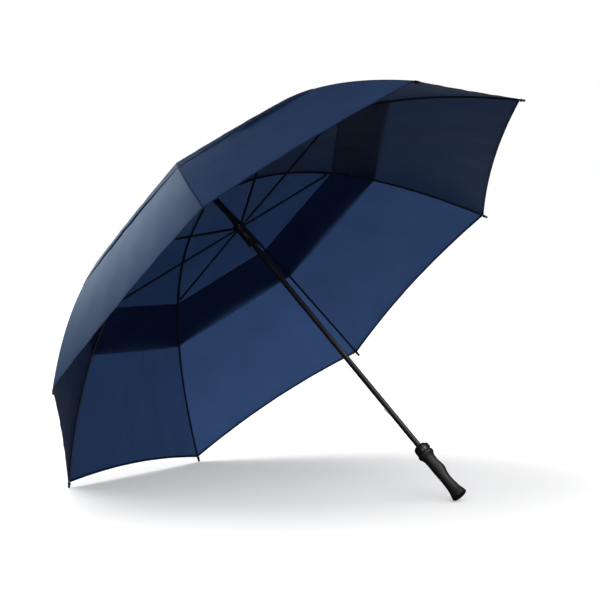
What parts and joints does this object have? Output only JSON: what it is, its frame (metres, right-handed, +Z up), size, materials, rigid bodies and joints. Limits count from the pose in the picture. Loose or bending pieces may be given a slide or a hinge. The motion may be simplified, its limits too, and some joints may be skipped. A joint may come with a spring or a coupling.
{
  "type": "golf umbrella",
  "caption": "Open vented golf umbrella with folding ribs, stretchers, runner, catches and a moulded grip, lying on two rib tips and the end of its grip.",
  "frame": {"origin": "on the floor, under the middle of the bounding box of the open umbrella as it lies", "axes": "+Z up from the floor; the shaft lies in the XZ plane and runs down towards +X, where the grip is; Y is across the canopy"},
  "size_m": [0.925, 1.2744, 0.9023],
  "materials": {
    "canopy_cloth": "plain weave polyester, satin",
    "black_paint": "satin black",
    "rib_fibre": "black glass-fibre rod",
    "spring_steel": "plain",
    "grip_rubber": "matt soft-touch",
    "black_plastic": "satin moulded"
  },
  "bodies": {
    "shaft": {"shaft": "black_paint", "ferrule": "black_plastic", "top_cap": "black_plastic", "notch": "black_plastic", "notch_ring": "spring_steel", "collar": "black_plastic", "grip": "grip_rubber", "butt_cap": "black_plastic", "button_spring": "spring_steel", "vent_canopy": "canopy_cloth"},
    "rib_1": {"rib_inner_1": "rib_fibre"},
    "rib_end_1": {"rib_outer_1": "rib_fibre", "rib_tip_1": "black_plastic", "canopy_panel_1": "canopy_cloth"},
    "stretcher_1": {"stretcher_1": "black_paint"},
    "rib_2": {"rib_inner_2": "rib_fibre"},
    "rib_end_2": {"rib_outer_2": "rib_fibre", "rib_tip_2": "black_plastic", "canopy_panel_2": "canopy_cloth"},
    "stretcher_2": {"stretcher_2": "black_paint"},
    "rib_3": {"rib_inner_3": "rib_fibre"},
    "rib_end_3": {"rib_outer_3": "rib_fibre", "rib_tip_3": "black_plastic", "canopy_panel_3": "canopy_cloth"},
    "stretcher_3": {"stretcher_3": "black_paint"},
    "rib_4": {"rib_inner_4": "rib_fibre"},
    "rib_end_4": {"rib_outer_4": "rib_fibre", "rib_tip_4": "black_plastic", "canopy_panel_4": "canopy_cloth"},
    "stretcher_4": {"stretcher_4": "black_paint"},
    "rib_5": {"rib_inner_5": "rib_fibre"},
    "rib_end_5": {"rib_outer_5": "rib_fibre", "rib_tip_5": "black_plastic", "canopy_panel_5": "canopy_cloth"},
    "stretcher_5": {"stretcher_5": "black_paint"},
    "rib_6": {"rib_inner_6": "rib_fibre"},
    "rib_end_6": {"rib_outer_6": "rib_fibre", "rib_tip_6": "black_plastic", "canopy_panel_6": "canopy_cloth"},
    "stretcher_6": {"stretcher_6": "black_paint"},
    "rib_7": {"rib_inner_7": "rib_fibre"},
    "rib_end_7": {"rib_outer_7": "rib_fibre", "rib_tip_7": "black_plastic", "canopy_panel_7": "canopy_cloth"},
    "stretcher_7": {"stretcher_7": "black_paint"},
    "rib_8": {"rib_inner_8": "rib_fibre"},
    "rib_end_8": {"rib_outer_8": "rib_fibre", "rib_tip_8": "black_plastic", "canopy_panel_8": "canopy_cloth"},
    "stretcher_8": {"stretcher_8": "black_paint"},
    "runner": {"runner": "black_plastic", "runner_ring": "spring_steel"},
    "top_catch": {"top_catch": "spring_steel"},
    "lower_catch": {"lower_catch": "spring_steel"},
    "release_rod": {"release_rod": "spring_steel"},
    "push_button": {"push_button": "black_plastic"}
  },
  "joints": [
    {"name": "canopy_fold", "type": "hinge", "parent": "shaft", "child": "rib_1", "pos_m": [-0.21793, -0.00459, 0.68925], "axis": [0.2749, 0.9239, 0.2663], "range_deg": [0, 80], "deforming": ["canopy_panel_1", "canopy_panel_2", "canopy_panel_3", "canopy_panel_4", "canopy_panel_5", "canopy_panel_6", "canopy_panel_7", "canopy_panel_8", "vent_canopy"]},
    {"name": "rib_flex_1", "type": "hinge", "parent": "rib_1", "child": "rib_end_1", "pos_m": [0.03536, -0.13049, 0.86464], "axis": [-0.2749, -0.9239, -0.2663], "range_deg": [-1, 30.15]},
    {"name": "stretcher_turn_1", "type": "hinge", "parent": "rib_1", "child": "stretcher_1", "pos_m": [0.03603, -0.12858, 0.85732], "axis": [-0.2749, -0.9239, -0.2663], "range_deg": [-2, 162]},
    {"name": "rib_fold_2", "type": "hinge", "parent": "shaft", "child": "rib_2", "pos_m": [-0.21793, 0.00459, 0.68925], "axis": [-0.2749, 0.9239, -0.2663], "range_deg": [-1, 81]},
    {"name": "rib_flex_2", "type": "hinge", "parent": "rib_2", "child": "rib_end_2", "pos_m": [0.03536, 0.13049, 0.86464], "axis": [0.2749, -0.9239, 0.2663], "range_deg": [-1, 30.15]},
    {"name": "stretcher_turn_2", "type": "hinge", "parent": "rib_2", "child": "stretcher_2", "pos_m": [0.03603, 0.12858, 0.85732], "axis": [0.2749, -0.9239, 0.2663], "range_deg": [-2, 162]},
    {"name": "rib_fold_3", "type": "hinge", "parent": "shaft", "child": "rib_3", "pos_m": [-0.22259, 0.01109, 0.68473], "axis": [-0.6635, 0.3827, -0.6428], "range_deg": [-1, 81]},
    {"name": "rib_flex_3", "type": "hinge", "parent": "rib_3", "child": "rib_end_3", "pos_m": [-0.09718, 0.31504, 0.73623], "axis": [0.6635, -0.3827, 0.6428], "range_deg": [-1, 30.15]},
    {"name": "stretcher_turn_3", "type": "hinge", "parent": "rib_3", "child": "stretcher_3", "pos_m": [-0.09458, 0.31042, 0.73079], "axis": [0.6635, -0.3827, 0.6428], "range_deg": [-2, 162]},
    {"name": "rib_fold_4", "type": "hinge", "parent": "shaft", "child": "rib_4", "pos_m": [-0.22919, 0.01109, 0.67834], "axis": [-0.6635, -0.3827, -0.6428], "range_deg": [-1, 81]},
    {"name": "rib_flex_4", "type": "hinge", "parent": "rib_4", "child": "rib_end_4", "pos_m": [-0.28463, 0.31504, 0.55463], "axis": [0.6635, 0.3827, 0.6428], "range_deg": [-1, 30.15]},
    {"name": "stretcher_turn_4", "type": "hinge", "parent": "rib_4", "child": "stretcher_4", "pos_m": [-0.27928, 0.31042, 0.55185], "axis": [0.6635, 0.3827, 0.6428], "range_deg": [-2, 162]},
    {"name": "rib_fold_5", "type": "hinge", "parent": "shaft", "child": "rib_5", "pos_m": [-0.23386, 0.00459, 0.67382], "axis": [-0.2749, -0.9239, -0.2663], "range_deg": [-1, 81]},
    {"name": "rib_flex_5", "type": "hinge", "parent": "rib_5", "child": "rib_end_5", "pos_m": [-0.41718, 0.13049, 0.42622], "axis": [0.2749, 0.9239, 0.2663], "range_deg": [-1, 30.15]},
    {"name": "stretcher_turn_5", "type": "hinge", "parent": "rib_5", "child": "stretcher_5", "pos_m": [-0.40988, 0.12858, 0.42532], "axis": [0.2749, 0.9239, 0.2663], "range_deg": [-2, 162]},
    {"name": "rib_fold_6", "type": "hinge", "parent": "shaft", "child": "rib_6", "pos_m": [-0.23386, -0.00459, 0.67382], "axis": [0.2749, -0.9239, 0.2663], "range_deg": [-1, 81]},
    {"name": "rib_flex_6", "type": "hinge", "parent": "rib_6", "child": "rib_end_6", "pos_m": [-0.41718, -0.13049, 0.42622], "axis": [-0.2749, 0.9239, -0.2663], "range_deg": [-1, 30.15]},
    {"name": "stretcher_turn_6", "type": "hinge", "parent": "rib_6", "child": "stretcher_6", "pos_m": [-0.40988, -0.12858, 0.42532], "axis": [-0.2749, 0.9239, -0.2663], "range_deg": [-2, 162]},
    {"name": "rib_fold_7", "type": "hinge", "parent": "shaft", "child": "rib_7", "pos_m": [-0.22919, -0.01109, 0.67834], "axis": [0.6635, -0.3827, 0.6428], "range_deg": [-1, 81]},
    {"name": "rib_flex_7", "type": "hinge", "parent": "rib_7", "child": "rib_end_7", "pos_m": [-0.28463, -0.31504, 0.55463], "axis": [-0.6635, 0.3827, -0.6428], "range_deg": [-1, 30.15]},
    {"name": "stretcher_turn_7", "type": "hinge", "parent": "rib_7", "child": "stretcher_7", "pos_m": [-0.27928, -0.31042, 0.55185], "axis": [-0.6635, 0.3827, -0.6428], "range_deg": [-2, 162]},
    {"name": "rib_fold_8", "type": "hinge", "parent": "shaft", "child": "rib_8", "pos_m": [-0.22259, -0.01109, 0.68473], "axis": [0.6635, 0.3827, 0.6428], "range_deg": [-1, 81]},
    {"name": "rib_flex_8", "type": "hinge", "parent": "rib_8", "child": "rib_end_8", "pos_m": [-0.09718, -0.31504, 0.73623], "axis": [-0.6635, -0.3827, -0.6428], "range_deg": [-1, 30.15]},
    {"name": "stretcher_turn_8", "type": "hinge", "parent": "rib_8", "child": "stretcher_8", "pos_m": [-0.09458, -0.31042, 0.73079], "axis": [-0.6635, -0.3827, -0.6428], "range_deg": [-2, 162]},
    {"name": "runner_slide", "type": "hinge", "parent": "stretcher_1", "child": "runner", "pos_m": [-0.14, -0.00459, 0.60881], "axis": [0.2749, 0.9239, 0.2663], "range_deg": [-1, 81]},
    {"name": "top_catch_press", "type": "slide", "parent": "shaft", "child": "top_catch", "axis": [0.5079, 0.7071, 0.492], "range_m": [0, 0.0028], "stiffness_N_per_m": 600},
    {"name": "button_press", "type": "slide", "parent": "shaft", "child": "push_button", "axis": [-0.6509, -0.4226, -0.6306], "range_m": [0, 0.0022], "stiffness_N_per_m": 600, "deforming": ["button_spring"]},
    {"name": "lower_catch_press", "type": "slide", "parent": "shaft", "child": "lower_catch", "axis": [0.5079, 0.7071, 0.492], "range_m": [-0.0001, 0.0029]},
    {"name": "release_rod_pull", "type": "slide", "parent": "shaft", "child": "release_rod", "axis": [0.6958, 0, -0.7182], "range_m": [-0.0001, 0.0023]}
  ],
  "couplings": [
    {"joint": "rib_flex_1", "follows": "canopy_fold", "ratio": 0.36439},
    {"joint": "stretcher_turn_1", "follows": "canopy_fold", "ratio": 2},
    {"joint": "rib_fold_2", "follows": "canopy_fold", "ratio": 1},
    {"joint": "rib_flex_2", "follows": "canopy_fold", "ratio": 0.36439},
    {"joint": "stretcher_turn_2", "follows": "canopy_fold", "ratio": 2},
    {"joint": "rib_fold_3", "follows": "canopy_fold", "ratio": 1},
    {"joint": "rib_flex_3", "follows": "canopy_fold", "ratio": 0.36439},
    {"joint": "stretcher_turn_3", "follows": "canopy_fold", "ratio": 2},
    {"joint": "rib_fold_4", "follows": "canopy_fold", "ratio": 1},
    {"joint": "rib_flex_4", "follows": "canopy_fold", "ratio": 0.36439},
    {"joint": "stretcher_turn_4", "follows": "canopy_fold", "ratio": 2},
    {"joint": "rib_fold_5", "follows": "canopy_fold", "ratio": 1},
    {"joint": "rib_flex_5", "follows": "canopy_fold", "ratio": 0.36439},
    {"joint": "stretcher_turn_5", "follows": "canopy_fold", "ratio": 2},
    {"joint": "rib_fold_6", "follows": "canopy_fold", "ratio": 1},
    {"joint": "rib_flex_6", "follows": "canopy_fold", "ratio": 0.36439},
    {"joint": "stretcher_turn_6", "follows": "canopy_fold", "ratio": 2},
    {"joint": "rib_fold_7", "follows": "canopy_fold", "ratio": 1},
    {"joint": "rib_flex_7", "follows": "canopy_fold", "ratio": 0.36439},
    {"joint": "stretcher_turn_7", "follows": "canopy_fold", "ratio": 2},
    {"joint": "rib_fold_8", "follows": "canopy_fold", "ratio": 1},
    {"joint": "rib_flex_8", "follows": "canopy_fold", "ratio": 0.36439},
    {"joint": "stretcher_turn_8", "follows": "canopy_fold", "ratio": 2},
    {"joint": "runner_slide", "follows": "canopy_fold", "ratio": 1},
    {"joint": "lower_catch_press", "follows": "button_press", "ratio": 1.27},
    {"joint": "release_rod_pull", "follows": "button_press", "ratio": 1}
  ]
}
